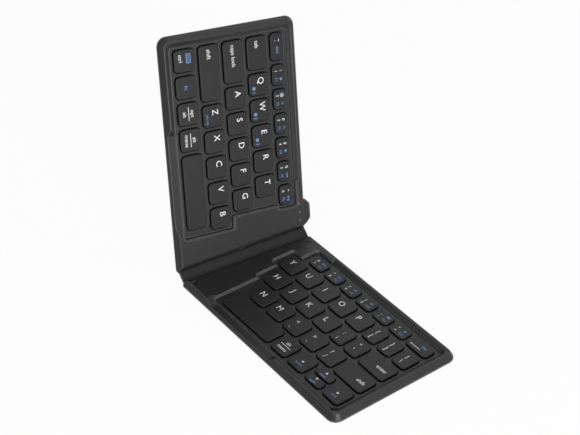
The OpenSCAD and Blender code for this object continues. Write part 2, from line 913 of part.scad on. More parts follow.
NODES = concat([
    "right_bottom_cover", "right_deck", "right_support_plate", "right_membrane", "right_rubber_domes",
    "right_magnets", "battery",
    "left_bottom_cover", "left_deck", "left_support_plate", "left_membrane", "left_rubber_domes",
    "left_magnets", "circuit_board", "charging_port", "indicator_lights",
    "spine_skin", "spine_core", "flat_cable"],
    RIGHT_KEY_NODES,
    LEFT_KEY_NODES);

function wanted(name) = node == "all" || node == name;

if (wanted("right_bottom_cover"))
    color([0.16, 0.16, 0.17]) place_half(true) bottom_cover(true);
if (wanted("right_deck"))
    color([0.2, 0.2, 0.21]) place_half(true) deck(true);
if (wanted("right_support_plate"))
    color([0.7, 0.7, 0.72]) place_half(true) support_plate(true);
if (wanted("right_membrane"))
    color([0.75, 0.8, 0.72]) place_half(true) membrane(true);
if (wanted("right_rubber_domes"))
    color([0.85, 0.85, 0.8]) place_half(true) rubber_domes(true);
if (wanted("right_magnets"))
    color([0.6, 0.6, 0.62]) place_half(true) magnets();
if (wanted("battery"))
    color([0.5, 0.52, 0.55]) place_half(true) battery();
if (wanted("left_bottom_cover"))
    color([0.16, 0.16, 0.17]) place_half(false) bottom_cover(false);
if (wanted("left_deck"))
    color([0.2, 0.2, 0.21]) place_half(false) deck(false);
if (wanted("left_support_plate"))
    color([0.7, 0.7, 0.72]) place_half(false) support_plate(false);
if (wanted("left_membrane"))
    color([0.75, 0.8, 0.72]) place_half(false) membrane(false);
if (wanted("left_rubber_domes"))
    color([0.85, 0.85, 0.8]) place_half(false) rubber_domes(false);
if (wanted("left_magnets"))
    color([0.6, 0.6, 0.62]) place_half(false) magnets();
if (wanted("circuit_board"))
    color([0.1, 0.35, 0.2]) place_half(false) circuit_board();
if (wanted("charging_port"))
    color([0.75, 0.75, 0.78]) place_half(false) charging_port();
if (wanted("indicator_lights"))
    color([0.8, 0.85, 0.9]) place_half(false) indicator_lights();
if (wanted("spine_skin"))
    color([0.14, 0.14, 0.15]) at_spine() spine_skin();
if (wanted("spine_core"))
    color([0.5, 0.5, 0.5]) at_spine() spine_core();
if (wanted("flat_cable"))
    color([0.8, 0.5, 0.2]) flat_cable();
for (name = RIGHT_KEY_NODES)
    if (wanted(name))
        color([0.11, 0.11, 0.12]) place_half(true) key_node(name, true);
for (name = LEFT_KEY_NODES)
    if (wanted(name))
        color([0.11, 0.11, 0.12]) place_half(false) key_node(name, false);
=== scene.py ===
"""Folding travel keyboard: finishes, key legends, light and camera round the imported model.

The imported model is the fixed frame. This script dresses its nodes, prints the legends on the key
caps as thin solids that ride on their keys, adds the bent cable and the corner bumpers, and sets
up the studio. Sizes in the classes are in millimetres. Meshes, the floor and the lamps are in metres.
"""

from __future__ import annotations

import logging
import math
from dataclasses import dataclass, field, fields, replace
from enum import Enum
from functools import partial
from typing import Iterator, Mapping, Optional, Sequence, Union

import bmesh
import bpy
from mathutils import Matrix, Vector

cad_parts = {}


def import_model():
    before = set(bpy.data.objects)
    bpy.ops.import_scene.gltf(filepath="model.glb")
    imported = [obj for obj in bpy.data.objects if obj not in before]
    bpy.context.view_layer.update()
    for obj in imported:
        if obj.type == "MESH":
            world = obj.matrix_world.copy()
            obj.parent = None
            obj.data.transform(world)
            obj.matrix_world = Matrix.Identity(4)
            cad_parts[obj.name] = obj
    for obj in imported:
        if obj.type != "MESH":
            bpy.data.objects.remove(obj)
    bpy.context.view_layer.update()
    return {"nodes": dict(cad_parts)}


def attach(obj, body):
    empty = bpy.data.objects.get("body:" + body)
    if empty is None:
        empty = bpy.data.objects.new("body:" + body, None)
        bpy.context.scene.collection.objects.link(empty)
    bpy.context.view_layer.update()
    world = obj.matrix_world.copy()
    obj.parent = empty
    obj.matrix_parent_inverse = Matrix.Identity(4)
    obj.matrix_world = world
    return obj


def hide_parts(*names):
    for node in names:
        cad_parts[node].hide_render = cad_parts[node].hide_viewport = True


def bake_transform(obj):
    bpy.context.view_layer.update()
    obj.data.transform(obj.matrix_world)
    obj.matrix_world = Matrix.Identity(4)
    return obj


LOG = logging.getLogger("folding_keyboard")
MM = 0.001

Colour = tuple[float, float, float]
SocketValue = Union["Wire", float, Sequence[float]]


# Shader tools


class Wire:
    """A value that runs through a material; its operators add Math nodes."""

    def __init__(self, sheet: "ShaderSheet", socket: bpy.types.NodeSocket) -> None:
        """Keeps the output socket and the sheet that it is on."""
        self.sheet = sheet
        self.socket = socket

    def _math(self, operation: str, first: SocketValue, second: SocketValue) -> "Wire":
        """Adds one Math node with two values or links, and hands back its result."""
        return self.sheet.node("ShaderNodeMath", {"operation": operation}, {0: first, 1: second})

    def __add__(self, other: SocketValue) -> "Wire":
        """Sum."""
        return self._math("ADD", self, other)

    def __radd__(self, other: SocketValue) -> "Wire":
        """Sum, the other way round."""
        return self._math("ADD", other, self)

    def __sub__(self, other: SocketValue) -> "Wire":
        """Difference."""
        return self._math("SUBTRACT", self, other)

    def __rsub__(self, other: SocketValue) -> "Wire":
        """Difference, the other way round."""
        return self._math("SUBTRACT", other, self)

    def __mul__(self, other: SocketValue) -> "Wire":
        """Product."""
        return self._math("MULTIPLY", self, other)

    def __rmul__(self, other: SocketValue) -> "Wire":
        """Product, the other way round."""
        return self._math("MULTIPLY", other, self)

    def held(self, low: float = 0.0, high: float = 1.0) -> "Wire":
        """Keeps the value between two limits."""
        return self._math("MINIMUM", self._math("MAXIMUM", self, low), high)


class ShaderSheet:
    """One material, or the world, while it is being written."""

    def __init__(self, name: str, world: bool = False) -> None:
        """Starts an empty one.

        Args:
            name: Its name.
            world: Whether it is the world.
        """
        self.owner = bpy.data.worlds.new(name) if world else bpy.data.materials.new(name)
        self.owner.use_nodes = True
        self.tree = self.owner.node_tree
        self.tree.nodes.clear()

    def node(
        self,
        kind: str,
        settings: Optional[Mapping[str, object]] = None,
        sockets: Optional[Mapping[Union[str, int], SocketValue]] = None,
        output: Union[str, int] = 0,
    ) -> Wire:
        """Adds a node.

        Args:
            kind: The node's type.
            settings: Its settings, set before its sockets.
            sockets: Values or links of its input sockets, by name or number.
            output: The output socket to hand back.

        Returns:
            The chosen output.
        """
        made = self.tree.nodes.new(kind)
        for key, value in (settings or {}).items():
            if key == "stops":
                self._set_stops(made.color_ramp, value)
            else:
                setattr(made, key, value)
        for key, value in (sockets or {}).items():
            if isinstance(value, Wire):
                self.tree.links.new(value.socket, made.inputs[key])
            else:
                made.inputs[key].default_value = value
        return Wire(self, made.outputs[output] if made.outputs else made.inputs[0])

    @staticmethod
    def _set_stops(ramp: bpy.types.ColorRamp, stops: Sequence[tuple[float, float]]) -> None:
        """Gives a ramp its grey stops.

        Args:
            ramp: The ramp.
            stops: Place and grey level of each stop.
        """
        while len(ramp.elements) < len(stops):
            ramp.elements.new(1.0)
        for element, (place, level) in zip(ramp.elements, stops):
            element.position = place
            element.color = (level, level, level, 1.0)

    def place(self) -> Wire:
        """The point on the surface, in the object's own coordinates."""
        return self.node("ShaderNodeTexCoord", output="Object")

    def noise(self, size: float, detail: float = 2.0, spread: Optional[Sequence[float]] = None) -> Wire:
        """Noise about a given grain size.

        Args:
            size: Size of its patches in metres.
            detail: Number of finer layers.
            spread: How much each axis is squeezed, where the grain has a direction.

        Returns:
            A value round one half.
        """
        where = self.place()
        if spread is not None:
            where = self.node("ShaderNodeMapping", None, {"Vector": where, "Scale": spread})
        return self.node(
            "ShaderNodeTexNoise", None, {"Vector": where, "Scale": 1.0 / size, "Detail": detail}
        )

    def mix(self, share: SocketValue, first: SocketValue, second: SocketValue) -> Wire:
        """Mixes two colours with alpha, by the share of the second one."""
        sockets = {0: share, 6: first, 7: second}
        return self.node("ShaderNodeMix", {"data_type": "RGBA", "clamp_factor": True}, sockets, 2)

    def shade(self, share: SocketValue, colour: Colour, dark: float, light: float) -> Wire:
        """One colour between two gains of its own, by the share of the lighter one."""
        return self.mix(share, opaque(colour, dark), opaque(colour, light))

    def bump(self, height: Wire, depth: float, strength: float, base: Optional[Wire] = None) -> Wire:
        """Turns a height into a normal.

        Args:
            height: The height, from 0 to 1.
            depth: What a height of 1 is, in metres.
            strength: Strength of the relief.
            base: The normal that it is added to.

        Returns:
            The normal.
        """
        sockets: dict[Union[str, int], SocketValue] = {
            "Height": height, "Distance": depth, "Strength": strength}
        if base is not None:
            sockets["Normal"] = base
        return self.node("ShaderNodeBump", None, sockets)

    def seen(self) -> Wire:
        """Where white stands behind the object.

        Returns:
            1 for rays from the camera, off gloss and through clear pieces, and 0 for the rest.
        """
        camera, gloss, clear = (
            self.node("ShaderNodeLightPath", output=f"Is {ray} Ray")
            for ray in ("Camera", "Glossy", "Transmission"))
        return (camera + gloss + clear).held()

    def finish(self, sockets: Mapping[Union[str, int], SocketValue]) -> bpy.types.Material:
        """Adds the surface shader and the output.

        Args:
            sockets: The shader's values and links.

        Returns:
            The finished material.
        """
        shader = self.node("ShaderNodeBsdfPrincipled", None, sockets)
        self.node("ShaderNodeOutputMaterial", None, {"Surface": shader})
        return self.owner


def opaque(colour: Colour, gain: float = 1.0) -> tuple[float, float, float, float]:
    """A colour with alpha, its parts multiplied by a gain and none above 1."""
    red, green, blue = (min(part * gain, 1.0) for part in colour)
    return (red, green, blue, 1.0)


# Finishes


@dataclass(frozen=True)
class MouldedPlastic:
    """Charcoal plastic with a fine eroded grain and a soft-touch sheen; its colour carries a painted
    highlight on edges and crests, which also stands for rub wear, and painted shade in narrow gaps and on
    walls.

    Reaches, the radius and the grain are lengths; top is the way that the lit faces look, and walls that
    look elsewhere get painted shade.
    """

    name: str
    colour: Colour = (0.0175, 0.0175, 0.0182)
    drift: float = 0.16
    edge_highlight_gain: float = 6.5
    edge_radius: float = 0.9
    ridge_reach: float = 0.5
    ridge_contrast: float = 2.5
    gap_shade_reach: float = 1.2
    gap_shade_contrast: float = 4.0
    gap_shade_gain: float = 0.25
    cloud_size: float = 22.0
    handled_size: float = 7.0
    grain: float = 0.16
    grain_depth: float = 0.012
    roughness: float = 0.38
    polish: float = 0.1
    specular: float = 0.24
    top: Optional[Sequence[float]] = None
    wall_shade_gain: float = 0.25

    def material(self) -> bpy.types.Material:
        """Writes the material.

        Returns:
            The material.
        """
        sheet = ShaderSheet(self.name)
        rounded = sheet.node("ShaderNodeBevel", {"samples": 6}, {"Radius": self.edge_radius * MM})
        wall, alone, beside = (
            sheet.node("ShaderNodeAmbientOcclusion", {"samples": 8, "inside": inside, "only_local": local},
                       {"Distance": reach * MM}, "AO")
            for inside, local, reach in (
                (True, True, self.ridge_reach), (False, True, self.gap_shade_reach),
                (False, False, self.gap_shade_reach)))
        # Convex edges and crests: the mask for a painted highlight, which also stands for rub wear, and for
        # polish.
        edge = ((1.0 - wall) * self.ridge_contrast).held()
        # Narrow gaps beside other parts: the mask for painted shade.
        gap = ((alone - beside) * self.gap_shade_contrast).held()
        clouds = sheet.noise(self.cloud_size * MM, 3.0)
        handled = sheet.noise(self.handled_size * MM, 4.0)
        speckle = sheet.noise(self.grain * 2.2 * MM, 1.0)
        tone = (clouds - 0.5) * self.drift * 2.0 + (speckle - 0.5) * self.drift * 1.2
        base = sheet.shade((tone + 0.5).held(), self.colour, 1 - self.drift, 1 + self.drift)
        # Painted highlight on edges and crests, lighter by edge_highlight_gain, which also stands for rub
        # wear.
        colour_with_painted_light = sheet.mix((edge * (handled + 0.4)).held(), base, opaque(self.colour, self.edge_highlight_gain))
        # Painted shade on walls that look away from the key tops.
        if self.top is not None:
            facing = sheet.node("ShaderNodeVectorMath", {"operation": "DOT_PRODUCT"}, {
                0: sheet.node("ShaderNodeTexCoord", output="Normal"), 1: tuple(self.top)}, "Value")
            colour_with_painted_light = sheet.mix(((facing - 0.3) * 3.0).held(), opaque(self.colour, self.wall_shade_gain), colour_with_painted_light)
        # Painted shade in the narrow gaps beside other parts.
        colour_with_painted_light = sheet.mix(gap, colour_with_painted_light, opaque(self.colour, self.gap_shade_gain))
        pores = sheet.noise(self.grain * MM, 2.0)
        return sheet.finish({
            "Base Color": colour_with_painted_light,
            "Roughness": (self.roughness + (handled - 0.5) * self.polish * 2.0 - edge * 0.15).held(0.2, 0.9),
            "Normal": sheet.bump(pores, self.grain_depth * MM, 0.55, rounded),
            "Specular IOR Level": self.specular,
        })


@dataclass(frozen=True)
class SoftRubber:
    """Soft matte rubber with a skin-like grain and faint creases."""

    name: str
    colour: Colour = (0.0075, 0.0075, 0.0079)
    grain: float = 0.45
    roughness: float = 0.5
    specular: float = 0.3

    def material(self) -> bpy.types.Material:
        """Writes the material.

        Returns:
            The material.
        """
        sheet = ShaderSheet(self.name)
        cells = sheet.node(
            "ShaderNodeTexVoronoi", {"feature": "DISTANCE_TO_EDGE"},
            {"Vector": sheet.place(), "Scale": 1.0 / (self.grain * MM)})
        skin = (cells * 3.0).held()
        creases = sheet.noise(1.6 * MM, 2.0, (1.0, 0.12, 1.0))
        dust = sheet.noise(9 * MM, 5.0)
        return sheet.finish({
            "Base Color": sheet.shade((dust * 0.8 + skin * 0.2).held(), self.colour, 0.82, 1.25),
            "Roughness": (self.roughness + (dust - 0.5) * 0.2).held(0.3, 0.9),
            "Normal": sheet.bump(skin * 0.6 + creases * 0.4, 0.02 * MM, 0.4),
            "Specular IOR Level": self.specular,
        })


@dataclass(frozen=True)
class PadInk:
    """Printed legend ink: a thin, slightly uneven coat."""

    name: str
    colour: Colour
    thin: float = 0.16

    def material(self) -> bpy.types.Material:
        """Writes the material.

        Returns:
            The material.
        """
        sheet = ShaderSheet(self.name)
        coat = sheet.noise(0.5 * MM, 3.0)
        lay = sheet.noise(0.12 * MM, 1.0)
        return sheet.finish({
            "Base Color": sheet.shade((coat * 1.2 - 0.1).held(), self.colour, 1 - self.thin, 1.0),
            "Roughness": (0.42 + coat * 0.16).held(0.3, 0.8),
            "Normal": sheet.bump(lay, 0.004 * MM, 0.4),
            "Specular IOR Level": 0.35,
        })


@dataclass(frozen=True)
class SheetMetal:
    """Rolled or plated metal with lines along its rolling direction and dull patches."""

    name: str
    colour: Colour
    roughness: float = 0.32
    lines: Sequence[float] = (1.0, 0.04, 1.0)

    def material(self) -> bpy.types.Material:
        """Writes the material.

        Returns:
            The material.
        """
        sheet = ShaderSheet(self.name)
        rolled = sheet.noise(0.25 * MM, 3.0, self.lines)
        dull = sheet.noise(6 * MM, 4.0)
        return sheet.finish({
            "Base Color": sheet.shade((rolled * 0.6 + dull * 0.4).held(), self.colour, 0.82, 1.08),
            "Metallic": 1.0,
            "Roughness": (self.roughness + (dull - 0.5) * 0.3 + (rolled - 0.5) * 0.12).held(0.12, 0.8),
            "Normal": sheet.bump(rolled, 0.006 * MM, 0.3),
        })


@dataclass(frozen=True)
class CoatedSheet:
    """Film, board or pouch: a base colour under a thin coat, crossed by fine lines."""

    name: str
    colour: Colour
    line_colour: Colour
    pitch: float = 1.2
    roughness: float = 0.4
    metallic: float = 0.0
    coat: float = 0.2

    def material(self) -> bpy.types.Material:
        """Writes the material.

        Returns:
            The material.
        """
        sheet = ShaderSheet(self.name)
        lines = sheet.node(
            "ShaderNodeTexWave", {"wave_type": "BANDS", "bands_direction": "Y"},
            {"Vector": sheet.place(), "Scale": 0.314 / (self.pitch * MM), "Distortion": 0.6, "Detail": 1.0},
            "Fac")
        tracks = sheet.node("ShaderNodeValToRGB", {"stops": [(0.80, 0.0), (0.90, 1.0)]}, {"Fac": lines})
        clouds = sheet.noise(5 * MM, 4.0)
        plain = sheet.shade(clouds, self.colour, 0.88, 1.1)
        return sheet.finish({
            "Base Color": sheet.mix(tracks, plain, opaque(self.line_colour)),
            "Metallic": self.metallic,
            "Roughness": (self.roughness + (clouds - 0.5) * 0.25).held(0.15, 0.9),
            "Normal": sheet.bump(clouds, 0.02 * MM, 0.25),
            "Coat Weight": self.coat,
        })


@dataclass(frozen=True)
class Silicone:
    """Dark silicone of the key domes."""

    name: str
    # Near black: the domes' own colour, and also painted shade seen through the key gaps.
    colour: Colour = (0.03, 0.03, 0.032)

    def material(self) -> bpy.types.Material:
        """Writes the material.

        Returns:
            The material.
        """
        sheet = ShaderSheet(self.name)
        milk = sheet.noise(1.5 * MM, 3.0)
        return sheet.finish({
            "Base Color": sheet.shade(milk, self.colour, 0.85, 1.1),
            "Roughness": (0.36 + milk * 0.2).held(0.2, 0.8),
            "Normal": sheet.bump(milk, 0.01 * MM, 0.3),
            "Subsurface Weight": 0.05,
            "Subsurface Radius": (0.001, 0.001, 0.0008),
        })


@dataclass(frozen=True)
class LightGuide:
    """Clear plastic of the indicator lights, unlit, with a frosted face."""

    name: str
    colour: Colour = (0.075, 0.078, 0.082)

    def material(self) -> bpy.types.Material:
        """Writes the material.

        Returns:
            The material.
        """
        sheet = ShaderSheet(self.name)
        frost = sheet.noise(0.08 * MM, 2.0)
        return sheet.finish({
            "Base Color": sheet.shade(frost, self.colour, 0.8, 1.25),
            "Roughness": (0.2 + frost * 0.25).held(0.1, 0.6),
            "Normal": sheet.bump(frost, 0.004 * MM, 0.3),
            "Coat Weight": 0.6,
        })


# Where the keys are


class Side(Enum):
    """The two halves of the keyboard."""

    RIGHT = "right"
    LEFT = "left"


@dataclass(frozen=True)
class Hinge:
    """The two fold axes, which give each half its place."""

    axis_height: float = 2.5
    axis_distance: float = 7.1
    rest_fold: float = 36.25
    row_turn: float = 5.7

    def fold(self) -> Matrix:
        """The turn about the right axis.

        Returns:
            The transform, in millimetres.
        """
        up = Matrix.Translation((0.0, 0.0, self.axis_height))
        down = Matrix.Translation((0.0, 0.0, -self.axis_height))
        return up @ Matrix.Rotation(math.radians(self.rest_fold), 4, "Y") @ down

    def half_to_world(self, side: Side) -> Matrix:
        """From a half's own frame, in millimetres, to the world, in metres.

        Args:
            side: Which half.

        Returns:
            The transform.
        """
        turned = Matrix.Rotation(math.radians(self.row_turn), 4, "Z")
        if side is Side.RIGHT:
            flat = turned
        else:
            mirrored = Matrix.Scale(-1.0, 4, (1.0, 0.0, 0.0))
            across = Matrix.Translation((-self.axis_distance, 0.0, 0.0))
            flat = self.fold() @ across @ self.fold() @ mirrored @ turned
        return Matrix.Scale(MM, 4) @ flat

    def facing(self, side: Side) -> Vector:
        """Which way a half's key tops look in the world, as a direction of length 1."""
        return (self.half_to_world(side).to_3x3() @ Vector((0.0, 0.0, 1.0))).normalized()


@dataclass(frozen=True)
class KeyCap:
    """One cap in its half's frame: the body it belongs to, its centre and its size."""

    body: str
    s: float
    y: float
    width: float
    depth: float


@dataclass(frozen=True)
class KeyRow:
    """A row of keys from the hinge outwards; the last one fills the row up to the block's edge."""

    start: float
    depth: float
    keys: Sequence[tuple[str, float]]


@dataclass(frozen=True)
class KeyBlock:
    """All keys of one half."""

    side: Side
    reach: float
    rows: Sequence[KeyRow]
    first_front: float = -37.9
    gap: float = 2.7
    split_gap: float = 1.3
    split: Optional[tuple[int, int]] = None

    def row_front(self, number: int) -> float:
        """Front edge of a row, which is numbered from the front."""
        return self.first_front + sum(row.depth + self.gap for row in self.rows[:number])

    def caps(self) -> Iterator[KeyCap]:
        """The caps, row by row from the front, each row from the hinge outwards.

        Yields:
            Each cap; the shared place of two small keys gives its back one first.
        """
        for number, row in enumerate(self.rows):
            front = self.row_front(number)
            s = row.start
            for place, (body, width) in enumerate(row.keys):
                wide = self.reach - s if place == len(row.keys) - 1 else width
                centre = s + wide / 2
                if self.split == (number, place):
                    half = (row.depth - self.split_gap) / 2
                    yield KeyCap(body, centre, front + row.depth - half / 2, wide, half)
                    yield KeyCap(body, centre, front + half / 2, wide, half)
                else:
                    yield KeyCap(body, centre, front + row.depth / 2, wide, row.depth)
                s += wide + self.gap


# Legends


class Ink(Enum):
    """The two printing inks."""

    WHITE = "white"
    BLUE = "blue"


class Hold(Enum):
    """The side of a cap that a mark is measured from, and the side of the mark that is placed."""

    LEFT = "left"
    MIDDLE = "middle"
    RIGHT = "right"
    CENTRED_LEFT = "centred_left"


class Shape(Enum):
    """Flat outlines that the small signs are built from."""

    DISC = "disc"
    RING = "ring"
    BAR = "bar"
    TRIANGLE = "triangle"


@dataclass(frozen=True)
class Stroke:
    """One outline of a sign: its place, size and turn, in parts of the sign's height."""

    shape: Shape
    x: float = 0.0
    y: float = 0.0
    wide: float = 1.0
    high: float = 1.0
    turn: float = 0.0


BAR = partial(Stroke, Shape.BAR)
TRIANGLE = partial(Stroke, Shape.TRIANGLE)
LOUDSPEAKER = (BAR(-0.42, 0.0, 0.3, 0.4), TRIANGLE(-0.1, 0.0, 0.56, 0.9, 180.0))


class Sign(Enum):
    """Small signs that are not letters, each with its outlines."""

    LEFT = (TRIANGLE(turn=180.0),)
    RIGHT = (TRIANGLE(),)
    UP = (TRIANGLE(turn=90.0),)
    DOWN = (TRIANGLE(turn=-90.0),)
    LONG_LEFT = (BAR(0.35, 0.0, 6.3, 0.32), TRIANGLE(-3.0, 0.0, 0.8, 1.0, 180.0))
    RULE = (BAR(0.0, 0.0, 24.0, 1.0),)
    DOT = (Stroke(Shape.DISC),)
    HOUSE = (TRIANGLE(0.0, 0.25, 0.5, 1.1, 90.0), BAR(0.0, -0.22, 0.72, 0.56))
    LENS = (Stroke(Shape.RING, -0.1, 0.12, 0.72, 0.72), BAR(0.3, -0.3, 0.44, 0.16, -45.0))
    SUN = (Stroke(Shape.DISC, 0.0, 0.0, 0.42, 0.42),) + tuple(
        BAR(0.42 * math.cos(math.radians(a)), 0.42 * math.sin(math.radians(a)), 0.2, 0.1, a)
        for a in range(0, 360, 45))
    PREVIOUS = (BAR(-0.85, 0.0, 0.16, 0.8),) + tuple(TRIANGLE(x, 0.0, 0.6, 0.8, 180.0) for x in (-0.4, 0.25))
    PLAY = (TRIANGLE(-0.4, 0.0, 0.7, 0.9), BAR(0.25, 0.0, 0.2, 0.9), BAR(0.62, 0.0, 0.2, 0.9))
    NEXT = tuple(TRIANGLE(x, 0.0, 0.6, 0.8) for x in (-0.4, 0.25)) + (BAR(0.7, 0.0, 0.16, 0.8),)
    SPEAKER = LOUDSPEAKER + tuple(BAR(0.5, 0.0, 0.5, 0.14, turn) for turn in (45.0, -45.0))
    QUIETER = LOUDSPEAKER + (BAR(0.5, 0.0, 0.42, 0.14),)
    LOUDER = LOUDSPEAKER + (BAR(0.52, 0.0, 0.46, 0.14), BAR(0.52, 0.0, 0.14, 0.46))
    SCREEN = (BAR(0.0, 0.12, 1.4, 0.72), BAR(0.0, -0.36, 0.7, 0.14))
    LOCK = (BAR(0.0, -0.18, 0.76, 0.56), Stroke(Shape.RING, 0.0, 0.16, 0.56, 0.56))
    KEYBOARD = (
        BAR(0.0, -0.4, 1.7, 0.2), BAR(0.0, 0.42, 1.9, 0.16),
        *(BAR(x, 0.0, 0.16, 1.0) for x in (-0.87, 0.87)),
        *(BAR(0.36 * (i - 1.5), y, 0.2, 0.2) for i in range(4) for y in (0.16, -0.12)))


@dataclass(frozen=True)
class Mark:
    """One printed mark.

    x is the distance from the side that it is held by, and y from the cap's front edge to the
    middle of its line; high is the height of a capital letter, or of a sign.
    """

    what: Union[str, Sign]
    x: float
    y: float
    high: float
    hold: Hold = Hold.CENTRED_LEFT
    ink: Ink = Ink.WHITE


Legend = tuple[Mark, ...]


@dataclass(frozen=True)
class PrintLayout:
    """Where the legends sit on the caps."""

    letter_high: float = 3.9
    letter_x: float = 4.55
    letter_y: float = 8.3
    word_high: float = 2.55
    word_x: float = 2.6
    word_y: float = 6.8
    small_high: float = 1.85
    upper: float = 9.55
    lower: float = 3.9

    def letter(self, what: str) -> Legend:
        """A capital letter at the cap's upper left."""
        return (Mark(what, self.letter_x, self.letter_y, self.letter_high),)

    def channel(self, what: str, digit: str) -> Legend:
        """A capital letter with a blue dot and digit at the lower right.

        Args:
            what: The letter.
            digit: The digit.

        Returns:
            The legend.
        """
        return self.letter(what) + (
            Mark(Sign.DOT, 9.0, 3.1, 2.3, ink=Ink.BLUE),
            Mark(digit, 11.5, 3.1, 2.5, ink=Ink.BLUE),
        )

    def pair(self, upper: str, lower: str, high: float = 3.0) -> Legend:
        """Two characters above each other.

        Args:
            upper: The shifted one.
            lower: The plain one.
            high: Their line's height.

        Returns:
            The legend.
        """
        return (
            Mark(upper, self.letter_x, self.upper, high),
            Mark(lower, self.letter_x, self.lower + 0.3, high),
        )

    def number(self, upper: str, digit: str, sign: Sign, second: str) -> Legend:
        """A number key: two white characters at the left, two blue ones at the right.

        Args:
            upper: The shifted character.
            digit: The plain one.
            sign: The blue sign.
            second: The blue word.

        Returns:
            The legend.
        """
        return (
            Mark(upper, 3.9, 6.2, self.small_high),
            Mark(digit, 3.9, 2.7, self.small_high),
            Mark(sign, 9.2, 6.2, 2.0, ink=Ink.BLUE),
            Mark(second, 9.2, 2.7, self.small_high * 0.92, ink=Ink.BLUE),
        )

    def word(self, what: str, hold: Hold = Hold.LEFT) -> Legend:
        """A lower-case word near one side of a wide key."""
        side = self.word_x if hold is Hold.LEFT else self.word_x + 0.7
        return (Mark(what, side, self.word_y, self.word_high, hold),)

    def two_words(self, upper: str, lower: str) -> Legend:
        """Two words above each other with a thin rule between them.

        Args:
            upper: The upper word.
            lower: The lower word.

        Returns:
            The legend.
        """
        return (
            Mark(upper, 0.0, 9.5, self.word_high * 0.92, Hold.MIDDLE),
            Mark(Sign.RULE, 0.0, 6.9, 0.36, Hold.MIDDLE),
            Mark(lower, 0.0, 4.3, self.word_high * 0.92, Hold.MIDDLE),
        )

    def arrow(self, sign: Sign, word: str, middle: float) -> Legend:
        """An arrow with a blue word under it.

        Args:
            sign: The arrow.
            word: The word.
            middle: Height of the arrow's middle above the cap's front edge.

        Returns:
            The legend.
        """
        return (
            Mark(sign, 0.0, middle, 1.75, Hold.MIDDLE),
            Mark(word, 0.0, middle - 2.75, 1.75, Hold.MIDDLE, Ink.BLUE),
        )


